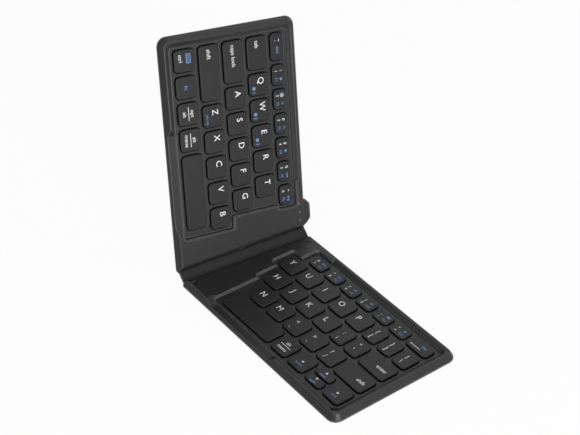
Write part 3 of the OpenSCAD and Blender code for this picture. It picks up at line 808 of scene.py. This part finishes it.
@dataclass
class LegendPrinter:
    """Makes the printed marks as thin solids on the caps."""

    hinge: Hinge
    cap_top: float = 5.0
    proud: float = 0.03
    sunk: float = 0.02
    stroke_gain: float = 0.002
    weld: float = 0.0005
    round_sides: int = 20
    ring_hole: float = 0.33
    shapes: dict[str, bpy.types.Mesh] = field(default_factory=dict)

    def letters(self, what: str) -> bpy.types.Mesh:
        """A word as a closed solid one capital high, kept for its next use.

        Args:
            what: The word.

        Returns:
            Its mesh, with the baseline at y = 0.
        """
        if what not in self.shapes:
            curve = bpy.data.curves.new("word", "FONT")
            curve.body = what
            curve.extrude = 0.5
            curve.offset = self.stroke_gain
            curve.resolution_u = 3
            carrier = bpy.data.objects.new("word", curve)
            bpy.context.scene.collection.objects.link(carrier)
            bpy.context.view_layer.update()
            settled = carrier.evaluated_get(bpy.context.evaluated_depsgraph_get())
            self.shapes[what] = bpy.data.meshes.new_from_object(settled)
            bpy.data.objects.remove(carrier)
            bpy.data.curves.remove(curve)
        return self.shapes[what]

    def capital(self) -> float:
        """Height of a capital in the font's own units."""
        return max(vertex.co.y for vertex in self.letters("H").vertices)

    def add_word(self, sheet: bmesh.types.BMesh, what: str, high: float) -> list[bmesh.types.BMVert]:
        """Adds a word with its line's middle at y = 0.

        Args:
            sheet: The mesh to add to.
            what: The word.
            high: Height of a capital.

        Returns:
            Its vertices.
        """
        before = set(sheet.verts)
        sheet.from_mesh(self.letters(what))
        added = [vertex for vertex in sheet.verts if vertex not in before]
        size = high / self.capital()
        bmesh.ops.scale(sheet, vec=(size, size, self.proud + self.sunk), verts=added)
        bmesh.ops.translate(sheet, vec=(0.0, -high / 2, (self.proud - self.sunk) / 2), verts=added)
        bmesh.ops.remove_doubles(sheet, verts=added, dist=self.weld)
        return [vertex for vertex in sheet.verts if vertex not in before]

    def add_stroke(self, sheet: bmesh.types.BMesh, stroke: Stroke, high: float) -> list[bmesh.types.BMVert]:
        """Adds one outline of a sign as a thin solid.

        Args:
            sheet: The mesh to add to.
            stroke: The outline.
            high: Height of the sign.

        Returns:
            Its vertices.
        """
        before = set(sheet.verts)
        sides = {Shape.BAR: 4, Shape.TRIANGLE: 3}.get(stroke.shape, self.round_sides)
        hollow = stroke.shape is Shape.RING
        made = bmesh.ops.create_circle(sheet, segments=sides, radius=0.5, cap_ends=not hollow)["verts"]
        if hollow:
            inner = bmesh.ops.create_circle(sheet, segments=sides, radius=self.ring_hole)["verts"]
            edges = list({edge for vertex in made + inner for edge in vertex.link_edges})
            bmesh.ops.bridge_loops(sheet, edges=edges)
            made = made + inner
        if stroke.shape is Shape.BAR:
            bmesh.ops.rotate(sheet, matrix=Matrix.Rotation(math.radians(45), 3, "Z"), verts=made)
            bmesh.ops.scale(sheet, vec=(math.sqrt(2), math.sqrt(2), 1.0), verts=made)
        elif stroke.shape is Shape.TRIANGLE:
            bmesh.ops.rotate(sheet, matrix=Matrix.Rotation(math.radians(-90), 3, "Z"), verts=made)
            bmesh.ops.translate(sheet, vec=(-0.125, 0.0, 0.0), verts=made)
            bmesh.ops.scale(sheet, vec=(4 / 3, 2 / math.sqrt(3), 1.0), verts=made)
        bmesh.ops.scale(sheet, vec=(stroke.wide * high, stroke.high * high, 1.0), verts=made)
        bmesh.ops.rotate(sheet, matrix=Matrix.Rotation(math.radians(stroke.turn), 3, "Z"), verts=made)
        bmesh.ops.translate(sheet, vec=(stroke.x * high, stroke.y * high, -self.sunk), verts=made)
        flat = list({face for vertex in made for face in vertex.link_faces})
        raised = bmesh.ops.extrude_face_region(sheet, geom=flat, use_keep_orig=True)["geom"]
        tops = [part for part in raised if isinstance(part, bmesh.types.BMVert)]
        bmesh.ops.translate(sheet, vec=(0.0, 0.0, self.proud + self.sunk), verts=tops)
        return [vertex for vertex in sheet.verts if vertex not in before]

    def add_mark(self, sheet: bmesh.types.BMesh, mark: Mark, cap: KeyCap, side: Side) -> None:
        """Adds a mark in the world's frame.

        Args:
            sheet: The mesh to add to.
            mark: The mark.
            cap: The cap that it is printed on.
            side: The half that the cap is in.
        """
        if isinstance(mark.what, Sign):
            added = [v for stroke in mark.what.value for v in self.add_stroke(sheet, stroke, mark.high)]
        else:
            added = self.add_word(sheet, mark.what, mark.high)
        low = min(vertex.co.x for vertex in added)
        high = max(vertex.co.x for vertex in added)
        anchor, place = {
            Hold.LEFT: (low, mark.x),
            Hold.CENTRED_LEFT: ((low + high) / 2, mark.x),
            Hold.MIDDLE: ((low + high) / 2, cap.width / 2 + mark.x),
            Hold.RIGHT: (high, cap.width - mark.x),
        }[mark.hold]
        reading = 1.0 if side is Side.RIGHT else -1.0
        corner = Matrix.Translation((
            cap.s - reading * (cap.width / 2 - place + anchor),
            cap.y - cap.depth / 2 + mark.y,
            self.cap_top,
        ))
        along = Matrix.Scale(reading, 4, (1.0, 0.0, 0.0))
        bmesh.ops.transform(sheet, matrix=self.hinge.half_to_world(side) @ corner @ along, verts=added)


# Assemblies


def dress(node: bpy.types.Object, material: bpy.types.Material) -> None:
    """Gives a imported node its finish.

    Args:
        node: The node's object.
        material: The finish.
    """
    if not node.material_slots:
        node.data.materials.append(material)
    for place in node.material_slots:
        place.material = material
    LOG.info("dressed %s with %s", node.name, material.name)


def settle(sheet: bmesh.types.BMesh, name: str, material: bpy.types.Material) -> bpy.types.Object:
    """Makes a finished mesh an object of the scene.

    Args:
        sheet: The mesh, which is freed.
        name: The object's name.
        material: Its finish.

    Returns:
        The object.
    """
    mesh = bpy.data.meshes.new(name)
    sheet.to_mesh(mesh)
    sheet.free()
    mesh.materials.append(material)
    made = bpy.data.objects.new(name, mesh)
    bpy.context.scene.collection.objects.link(made)
    LOG.info("made %s with %d faces", name, len(mesh.polygons))
    return made


@dataclass
class Finishes:
    """All finishes of the keyboard."""

    shell: MouldedPlastic = MouldedPlastic("soft_touch_shell")
    cover: MouldedPlastic = MouldedPlastic(
        "cover_moulding", (0.018, 0.018, 0.0188), grain=0.22, roughness=0.44)
    caps: MouldedPlastic = MouldedPlastic(
        "key_cap", (0.0185, 0.0185, 0.0193), drift=0.12, edge_highlight_gain=1.6, edge_radius=0.3, ridge_reach=0.3,
        grain=0.11, roughness=0.36, specular=0.17)
    spine: SoftRubber = SoftRubber("hinge_rubber")
    inks: Mapping[Ink, PadInk] = field(default_factory=lambda: {
        Ink.WHITE: PadInk("white_ink", (0.71, 0.72, 0.73)),
        Ink.BLUE: PadInk("blue_ink", (0.125, 0.215, 0.39)),
    })
    plate: SheetMetal = SheetMetal("rolled_steel", (0.62, 0.62, 0.63))
    nickel: SheetMetal = SheetMetal("nickel_plate", (0.70, 0.69, 0.66), 0.2, (1.0, 1.0, 1.0))
    socket: SheetMetal = SheetMetal("stamped_socket", (0.66, 0.66, 0.68), 0.26)
    # Near-black film: its own colour, and also painted shade seen through the key gaps.
    film: CoatedSheet = CoatedSheet(
        "contact_film", (0.016, 0.016, 0.018), (0.03, 0.03, 0.03), 2.1, 0.45, coat=0.0)
    board: CoatedSheet = CoatedSheet(
        "solder_mask", (0.015, 0.11, 0.045), (0.03, 0.2, 0.08), 1.3, 0.38, coat=0.5)
    pouch: CoatedSheet = CoatedSheet("foil_pouch", (0.45, 0.46, 0.48), (0.52, 0.53, 0.55), 6.0, 0.34, 0.8)
    cable: CoatedSheet = CoatedSheet(
        "film_cable", (0.018, 0.018, 0.018), (0.03, 0.03, 0.03), 0.5, 0.4, coat=0.1)
    fibre: CoatedSheet = CoatedSheet("fibre_sheet", (0.20, 0.20, 0.18), (0.16, 0.16, 0.15), 0.8, 0.6)
    silicone: Silicone = Silicone("dome_silicone")
    lights: LightGuide = LightGuide("light_guide")


@dataclass
class KeyHalf:
    """One half: its shells, its stack of sheets, its keys and their legends."""

    block: KeyBlock
    legends: Sequence[Legend]
    printer: LegendPrinter
    made: dict[str, bpy.types.Material]

    def dress_nodes(self, nodes: Mapping[str, bpy.types.Object]) -> None:
        """Gives the half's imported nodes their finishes.

        Args:
            nodes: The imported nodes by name.
        """
        side = self.block.side.value
        stack = {
            "deck": "shell", "bottom_cover": "cover", "support_plate": "plate", "membrane": "film",
            "rubber_domes": "silicone", "magnets": "nickel"}
        for part, finish in stack.items():
            dress(nodes[f"{side}_{part}"], self.made[finish])
        for body in dict.fromkeys(cap.body for cap in self.block.caps()):
            dress(nodes[body], self.made[f"{side}_caps"])

    def print_legends(self) -> None:
        """Prints the caps: one piece for each ink on each key body."""
        caps = list(self.block.caps())
        if len(caps) != len(self.legends):
            raise ValueError(f"{len(caps)} caps but {len(self.legends)} legends in {self.block.side}")
        groups: dict[tuple[str, Ink], list[tuple[Mark, KeyCap]]] = {}
        for cap, legend in zip(caps, self.legends):
            for mark in legend:
                groups.setdefault((cap.body, mark.ink), []).append((mark, cap))
        for (body, ink), marks in groups.items():
            sheet = bmesh.new()
            for mark, cap in marks:
                self.printer.add_mark(sheet, mark, cap, self.block.side)
            bmesh.ops.recalc_face_normals(sheet, faces=sheet.faces)
            piece = settle(sheet, f"print_{body}_{ink.value}", self.made[ink.value])
            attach(piece, body)


@dataclass
class InnerWorks:
    """The spine between the halves and what lies inside them."""

    made: dict[str, bpy.types.Material]

    def dress_nodes(self, nodes: Mapping[str, bpy.types.Object]) -> None:
        """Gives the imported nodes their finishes.

        Args:
            nodes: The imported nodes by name.
        """
        parts = {
            "spine_skin": "spine", "spine_core": "fibre", "battery": "pouch", "circuit_board": "board",
            "charging_port": "socket", "indicator_lights": "lights"}
        for part, finish in parts.items():
            dress(nodes[part], self.made[finish])


FULL_KEY, NARROW_KEY, NUMBER_KEY = 13.8, 10.9, 13.0
NUMBER_DEPTH = 8.9


def letter_keys(letters: str) -> tuple[tuple[str, float], ...]:
    """Letter keys of full width, from the hinge outwards."""
    return tuple((f"key_{letter}", FULL_KEY) for letter in letters)


def right_half_keys() -> KeyBlock:
    """The right half's keys, from the hinge outwards.

    Returns:
        The block.
    """
    return KeyBlock(Side.RIGHT, 138.2, (
        KeyRow(25.9, FULL_KEY, (
            ("right_space", 46.3), ("right_alt", FULL_KEY), *(("arrow_keys", FULL_KEY),) * 3)),
        KeyRow(31.4, FULL_KEY, (
            *letter_keys("nm"), *(("punctuation_keys", FULL_KEY),) * 3, ("right_shift", NARROW_KEY))),
        KeyRow(23.0, FULL_KEY, (
            *letter_keys("hjkl"), *(("punctuation_keys", NARROW_KEY),) * 2, ("enter_key", NARROW_KEY))),
        KeyRow(17.4, FULL_KEY, (*letter_keys("yuiop"), *(("bracket_keys", NARROW_KEY),) * 3)),
        KeyRow(26.4, NUMBER_DEPTH, (
            *(("right_number_keys", NUMBER_KEY),) * 6, ("backspace_key", NARROW_KEY))),
    ), split=(0, 3))


def left_half_keys() -> KeyBlock:
    """The left half's keys, from the hinge outwards.

    Returns:
        The block.
    """
    return KeyBlock(Side.LEFT, 135.5, (
        KeyRow(21.8, FULL_KEY, (("left_space", 47.7), *(("left_modifier_keys", FULL_KEY),) * 4)),
        KeyRow(18.4, FULL_KEY, (*letter_keys("bvcxz"), ("left_shift", NARROW_KEY))),
        KeyRow(26.8, FULL_KEY, (*letter_keys("gfdsa"), ("caps_lock", NARROW_KEY))),
        KeyRow(32.4, FULL_KEY, (*letter_keys("trewq"), ("tab_key", NARROW_KEY))),
        KeyRow(23.9, NUMBER_DEPTH, (
            *(("left_number_keys", NUMBER_KEY),) * 6, ("left_number_keys", NARROW_KEY))),
    ))


def right_half_legends(lay: PrintLayout) -> list[Legend]:
    """Legends of the right half, in the order of its caps.

    Args:
        lay: Where marks sit on a cap.

    Returns:
        One legend for each cap.
    """
    return [
        (), lay.two_words("alt", "menu"),
        lay.arrow(Sign.LEFT, "home", 6.9), lay.arrow(Sign.UP, "pgup", 4.6),
        lay.arrow(Sign.DOWN, "pgdn", 4.3), lay.arrow(Sign.RIGHT, "end", 6.9),
        lay.letter("N"), lay.letter("M"), lay.pair("<", ","), lay.pair(">", "."), lay.pair("?", "/"),
        lay.word("shift", Hold.RIGHT),
        *[lay.letter(k) for k in "HJKL"], lay.pair(":", ";"), lay.pair('"', "'"),
        lay.word("enter", Hold.RIGHT),
        *[lay.letter(k) for k in "YUIOP"], lay.pair("{", "["), lay.pair("}", "]"), lay.pair("|", "\\"),
        lay.number("&", "7", Sign.NEXT, "F7"), lay.number("*", "8", Sign.SPEAKER, "F8"),
        lay.number("(", "9", Sign.QUIETER, "F9"), lay.number(")", "0", Sign.LOUDER, "F10"),
        lay.number("_", "-", Sign.SCREEN, "F11"), lay.number("+", "=", Sign.LOCK, "F12"),
        (Mark(Sign.LONG_LEFT, 6.4, 2.7, 1.2),
         Mark("del", 11.2, 5.9, 2.3, ink=Ink.BLUE)),
    ]


def left_half_legends(lay: PrintLayout) -> list[Legend]:
    """Legends of the left half, in the order of its caps.

    Args:
        lay: Where marks sit on a cap.

    Returns:
        One legend for each cap.
    """
    return [
        (), lay.two_words("alt", "menu"), lay.two_words("opt", "alt"),
        (Mark("fn", 0.0, 6.6, 2.5, Hold.MIDDLE, Ink.BLUE),),
        (Mark("ctrl", 2.9, 4.3, 2.4, Hold.LEFT), Mark(Sign.KEYBOARD, 5.7, 9.6, 3.2, ink=Ink.BLUE)),
        *[lay.letter(k) for k in "BVCX"],
        lay.letter("Z") + (Mark("pairing", 8.6, 2.9, 1.6, ink=Ink.BLUE),),
        lay.word("shift"), *[lay.letter(k) for k in "GFDSA"], lay.word("caps lock"),
        lay.letter("T"), lay.letter("R"),
        lay.channel("E", "3"), lay.channel("W", "2"), lay.channel("Q", "1"), lay.word("tab"),
        lay.number("^", "6", Sign.PLAY, "F6"), lay.number("%", "5", Sign.PREVIOUS, "F5"),
        lay.number("$", "4", Sign.RIGHT, "F4"), lay.number("#", "3", Sign.LENS, "F3"),
        lay.number("@", "2", Sign.SUN, "F2"), lay.number("!", "1", Sign.HOUSE, "F1"),
        (Mark("~", 4.7, 6.2, 2.4), Mark("`", 4.7, 2.4, 2.4),
         Mark("esc", 10.8, 5.0, 2.5, ink=Ink.BLUE)),
    ]


@dataclass
class FlexCable:
    """The flat cable through the spine, as two pieces, each bent at one axis.

    reach is how far it goes into a half; bend, meant as how far from its axis it starts to bend, is not
    used.
    """

    hinge: Hinge
    material: bpy.types.Material
    width: float = 5.0
    thickness: float = 0.25
    reach: float = 6.5
    bend: float = 3.0
    steps: int = 40

    def point(self, side: Side, along: float) -> Vector:
        """A place on the cable's middle line, in the world.

        Args:
            side: The half it leads into.
            along: Distance from that half's axis: into the half above 0, into the spine below 0.

        Returns:
            The place.
        """
        across = Matrix.Translation((-self.hinge.axis_distance, 0.0, 0.0))
        flat = Vector((abs(along), 0.0, self.hinge.axis_height))
        if side is Side.RIGHT:
            place = flat if along >= 0 else self.hinge.fold() @ Vector((along, 0.0, flat.z))
        elif along >= 0:
            place = self.hinge.fold() @ across @ self.hinge.fold() @ Vector((-along, 0.0, flat.z))
        else:
            place = self.hinge.fold() @ across @ flat
        return place * MM

    def piece(self, side: Side) -> None:
        """Makes the piece that leads into one half.

        Args:
            side: The half.
        """
        inner = -self.hinge.axis_distance / 2
        strip = bmesh.new()
        bmesh.ops.create_grid(strip, x_segments=self.steps, y_segments=1, size=0.5)
        for vert in strip.verts:
            along = inner + (vert.co.x + 0.5) * (self.reach - inner)
            vert.co = self.point(side, along) + Vector((0.0, vert.co.y * self.width * MM, 0.0))
        bmesh.ops.solidify(strip, geom=strip.faces[:], thickness=self.thickness * MM)
        bmesh.ops.recalc_face_normals(strip, faces=strip.faces)
        made = settle(strip, f"{side.value}_cable", self.material)
        self.point(side, self.bend)
        self.point(side, -self.bend)
        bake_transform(made)
        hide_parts("flat_cable")


@dataclass
class Bumpers:
    """Small rubber arcs in the corners of the right half's rim, on which the left half rests when shut;
    their near-black colour is also painted shade for the rim's inner corners.

    Each corner is given by the place of its arc's middle in the half, its direction and its arc's top.
    """

    hinge: Hinge
    corners: Sequence[tuple[float, float, float, float]] = (
        (141.9, 39.6, 45.0, 5.92), (140.7, -41.2, -45.0, 5.92),
        (12.4, 40.6, 135.0, 6.03), (4.0, -41.9, 225.0, 6.03))
    # Near-black rubber, which is also painted shade for the rim's inner corners.
    finish: SoftRubber = SoftRubber("bumper_rubber_painted_shade", (0.0022, 0.0022, 0.0023), specular=0.12)
    radius: float = 2.3
    width: float = 0.9
    depth: float = 1.6
    sweep: float = 100.0
    steps: int = 12

    def add_arc(self, sheet: bmesh.types.BMesh, s: float, y: float, middle: float, top: float) -> None:
        """Adds one arc, bowed towards its corner.

        Args:
            sheet: The mesh that gets it.
            s: Place of its middle along the half.
            y: Place of its middle across the half.
            middle: Direction of the corner in degrees.
            top: Height of its top.
        """
        ring = bmesh.ops.create_circle(sheet, cap_ends=False, segments=4, radius=math.sqrt(0.5))["verts"]
        section = (
            Matrix.Translation((self.radius, 0.0, top - self.depth / 2))
            @ Matrix.Rotation(math.radians(90), 4, "X")
            @ Matrix.Diagonal((self.width, self.depth, 1.0, 1.0))
            @ Matrix.Rotation(math.radians(45), 4, "Z"))
        bmesh.ops.transform(sheet, matrix=section, verts=ring)
        edges = list({edge for vert in ring for edge in vert.link_edges})
        bmesh.ops.spin(
            sheet, geom=[*ring, *edges], cent=(0.0, 0.0, 0.0), axis=(0.0, 0.0, 1.0), dvec=(0.0, 0.0, 0.0),
            angle=math.radians(self.sweep), steps=self.steps, use_merge=False, use_duplicate=False)
        added = sheet.verts[-4 * (self.steps + 1):]
        bmesh.ops.holes_fill(sheet, edges=[edge for edge in sheet.edges if edge.is_boundary], sides=4)
        out = Vector((math.cos(math.radians(middle)), math.sin(math.radians(middle)), 0.0))
        place = (
            Matrix.Translation(Vector((s, y, 0.0)) - out * self.radius)
            @ Matrix.Rotation(math.radians(middle - self.sweep / 2), 4, "Z"))
        bmesh.ops.transform(sheet, matrix=self.hinge.half_to_world(Side.RIGHT) @ place, verts=added)

    def piece(self) -> None:
        """Makes the four arcs as one object."""
        sheet = bmesh.new()
        for corner in self.corners:
            self.add_arc(sheet, *corner)
        bmesh.ops.recalc_face_normals(sheet, faces=sheet.faces)
        made = settle(sheet, "corner_bumpers", self.finish.material())
        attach(made, "right_half")


# Studio


@dataclass(frozen=True)
class Studio:
    """Camera, soft lamps, pale floor and white surround.

    The camera's stand and sensor are in millimetres, the floor and the lamps in metres.
    """

    image_width: int = 580
    focal_pixels: float = 1522.235
    sensor: float = 36.0
    azimuth: float = 57.851
    elevation: float = 37.303
    roll: float = 1.080
    stand: Sequence[float] = (27.351, 28.713, 968.075)
    ambient: float = 0.54
    floor_tone: float = 0.8
    floor_glow: float = 0.95
    floor_radius: float = 6.0
    floor_drop: float = 0.0004
    lamp_target: Sequence[float] = (0.06, 0.0, 0.05)

    def camera(self) -> None:
        """Makes the camera at the photograph's place."""
        a, e, r = (math.radians(v) for v in (self.azimuth, self.elevation, self.roll))
        back = Vector((math.sin(a) * math.cos(e), -math.cos(a) * math.cos(e), math.sin(e)))
        level = Vector((math.cos(a), math.sin(a), 0.0))
        upright = back.cross(level)
        right = level * math.cos(r) + upright * math.sin(r)
        up = upright * math.cos(r) - level * math.sin(r)
        turn = Matrix((right, up, back)).transposed()
        data = bpy.data.cameras.new("view_camera")
        data.sensor_fit = "HORIZONTAL"
        data.sensor_width = self.sensor
        data.lens = self.focal_pixels / self.image_width * self.sensor
        data.clip_start, data.clip_end = 0.01, 20.0
        made = bpy.data.objects.new("view_camera", data)
        made.matrix_world = Matrix.Translation(turn @ Vector(self.stand) * MM) @ turn.to_4x4()
        bpy.context.scene.collection.objects.link(made)
        bpy.context.scene.camera = made

    def lamp(self, name: str, toward: Sequence[float], distance: float, size: float, power: float) -> None:
        """Hangs a square soft box that faces the keyboard.

        Args:
            name: Its name.
            toward: Direction from the keyboard to it.
            distance: Its distance in metres.
            size: Its side in metres.
            power: Its power in watts.
        """
        data = bpy.data.lights.new(name, "AREA")
        data.shape, data.size, data.energy = "SQUARE", size, power
        made = bpy.data.objects.new(name, data)
        away = Vector(toward).normalized()
        made.location = Vector(self.lamp_target) + away * distance
        made.rotation_mode = "QUATERNION"
        made.rotation_quaternion = away.to_track_quat("Z", "Y")
        bpy.context.scene.collection.objects.link(made)

    def surround(self) -> None:
        """Sets the world: soft light for the object, white where it is seen or mirrored."""
        sheet = ShaderSheet("surround", world=True)
        strength = sheet.seen() * (1.0 - self.ambient) + self.ambient
        light = sheet.node("ShaderNodeBackground", None, {"Color": opaque((1.0,) * 3), "Strength": strength})
        sheet.node("ShaderNodeOutputWorld", None, {"Surface": light})
        bpy.context.scene.world = sheet.owner

    def floor(self) -> None:
        """Lays the pale floor, which keeps a faint shadow."""
        sheet = ShaderSheet("pale_floor")
        speckle = sheet.noise(3 * MM, 2.0)
        plain = sheet.node("ShaderNodeBsdfDiffuse", None, {
            "Color": sheet.shade(speckle, (self.floor_tone,) * 3, 1.0, 1.02)})
        white = sheet.node("ShaderNodeEmission", None, {"Color": opaque((1.0,) * 3), "Strength": 1.0})
        share = sheet.seen() * self.floor_glow
        mixed = sheet.node("ShaderNodeMixShader", None, {0: share, 1: plain, 2: white})
        sheet.node("ShaderNodeOutputMaterial", None, {"Surface": mixed})
        disc = bmesh.new()
        bmesh.ops.create_circle(disc, cap_ends=True, segments=96, radius=self.floor_radius)
        bmesh.ops.translate(disc, vec=(0.0, 0.0, -self.floor_drop), verts=disc.verts)
        made = settle(disc, "floor", sheet.owner)

    def set_up(self) -> None:
        """Sets up everything round the object."""
        self.camera()
        self.surround()
        self.floor()
        self.lamp("side_box", (0.97, -0.1, 0.2), 1.1, 0.6, 13.5)
        self.lamp("back_box", (-0.65, 0.5, 0.65), 1.1, 0.7, 1.0)
        bpy.context.scene.view_settings.view_transform = "Standard"


def main() -> None:
    """Builds the keyboard's looks in order and reports each piece."""
    logging.basicConfig(level=logging.INFO, format="%(message)s")
    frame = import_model()
    Studio().set_up()
    finishes = Finishes()
    made = {
        part.name: getattr(finishes, part.name).material()
        for part in fields(finishes) if part.name not in ("caps", "inks")}
    made.update({ink.value: finish.material() for ink, finish in finishes.inks.items()})
    hinge = Hinge()
    for side in Side:
        # Each half gets its own copy of the cap finish, so that its painted wall shade follows its key tops.
        caps = replace(finishes.caps, name=f"{side.value}_key_cap", top=tuple(hinge.facing(side)))
        made[f"{side.value}_caps"] = caps.material()
    printer = LegendPrinter(hinge)
    layout = PrintLayout()
    halves = [
        KeyHalf(right_half_keys(), right_half_legends(layout), printer, made),
        KeyHalf(left_half_keys(), left_half_legends(layout), printer, made),
    ]
    for half in halves:
        half.dress_nodes(frame["nodes"])
        half.print_legends()
    InnerWorks(made).dress_nodes(frame["nodes"])
    for side in Side:
        FlexCable(hinge, made["cable"]).piece(side)
    Bumpers(hinge).piece()


if __name__ == "__main__":
    main()
